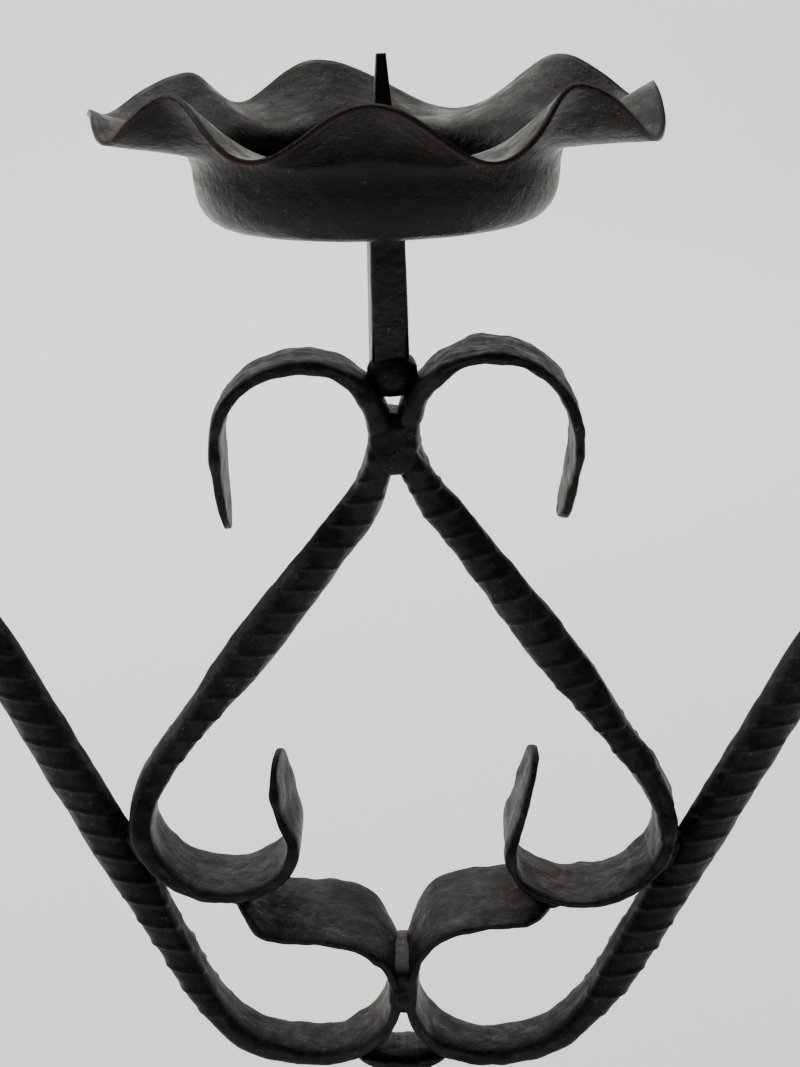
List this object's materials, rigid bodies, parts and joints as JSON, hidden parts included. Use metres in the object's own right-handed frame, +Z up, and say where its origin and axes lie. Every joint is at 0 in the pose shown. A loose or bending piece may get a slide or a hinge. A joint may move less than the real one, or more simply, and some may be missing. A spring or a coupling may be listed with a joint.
{
  "type": "three light candelabra",
  "caption": "Wrought iron table candelabra: scroll bars and curved arms on splayed legs carry fluted drip pans with spikes for pillar candles.",
  "frame": {"origin": "on the floor, under the middle of the post", "axes": "+Z up, +X along the arms towards the right-hand light, the front faces -Y"},
  "size_m": [0.6262, 0.3164, 0.4998],
  "materials": {
    "forged_bar": "blackened forged steel, dark satin, ribbed and hammered",
    "pan_sheet": "blackened sheet steel, satin, with dust and worn rim edges",
    "weld_metal": "blackened weld metal, lumpy"
  },
  "bodies": {
    "root": {"left_scroll_bar": "forged_bar", "left_arm": "forged_bar", "left_arm_weld": "weld_metal", "left_tongue_weld": "weld_metal", "left_drip_pan": "pan_sheet", "left_pan_weld": "weld_metal", "right_scroll_bar": "forged_bar", "right_arm": "forged_bar", "right_arm_weld": "weld_metal", "right_tongue_weld": "weld_metal", "right_drip_pan": "pan_sheet", "right_pan_weld": "weld_metal", "centre_stem": "forged_bar", "centre_drip_pan": "pan_sheet", "centre_pan_weld": "weld_metal", "post": "forged_bar", "right_leg": "forged_bar", "right_leg_weld": "weld_metal", "back_leg": "forged_bar", "back_leg_weld": "weld_metal", "left_leg": "forged_bar", "left_leg_weld": "weld_metal", "front_leg": "forged_bar", "front_leg_weld": "weld_metal", "stem_weld": "weld_metal", "waist_weld": "weld_metal", "arms_weld": "weld_metal", "post_weld": "weld_metal"}
  },
  "joints": []
}
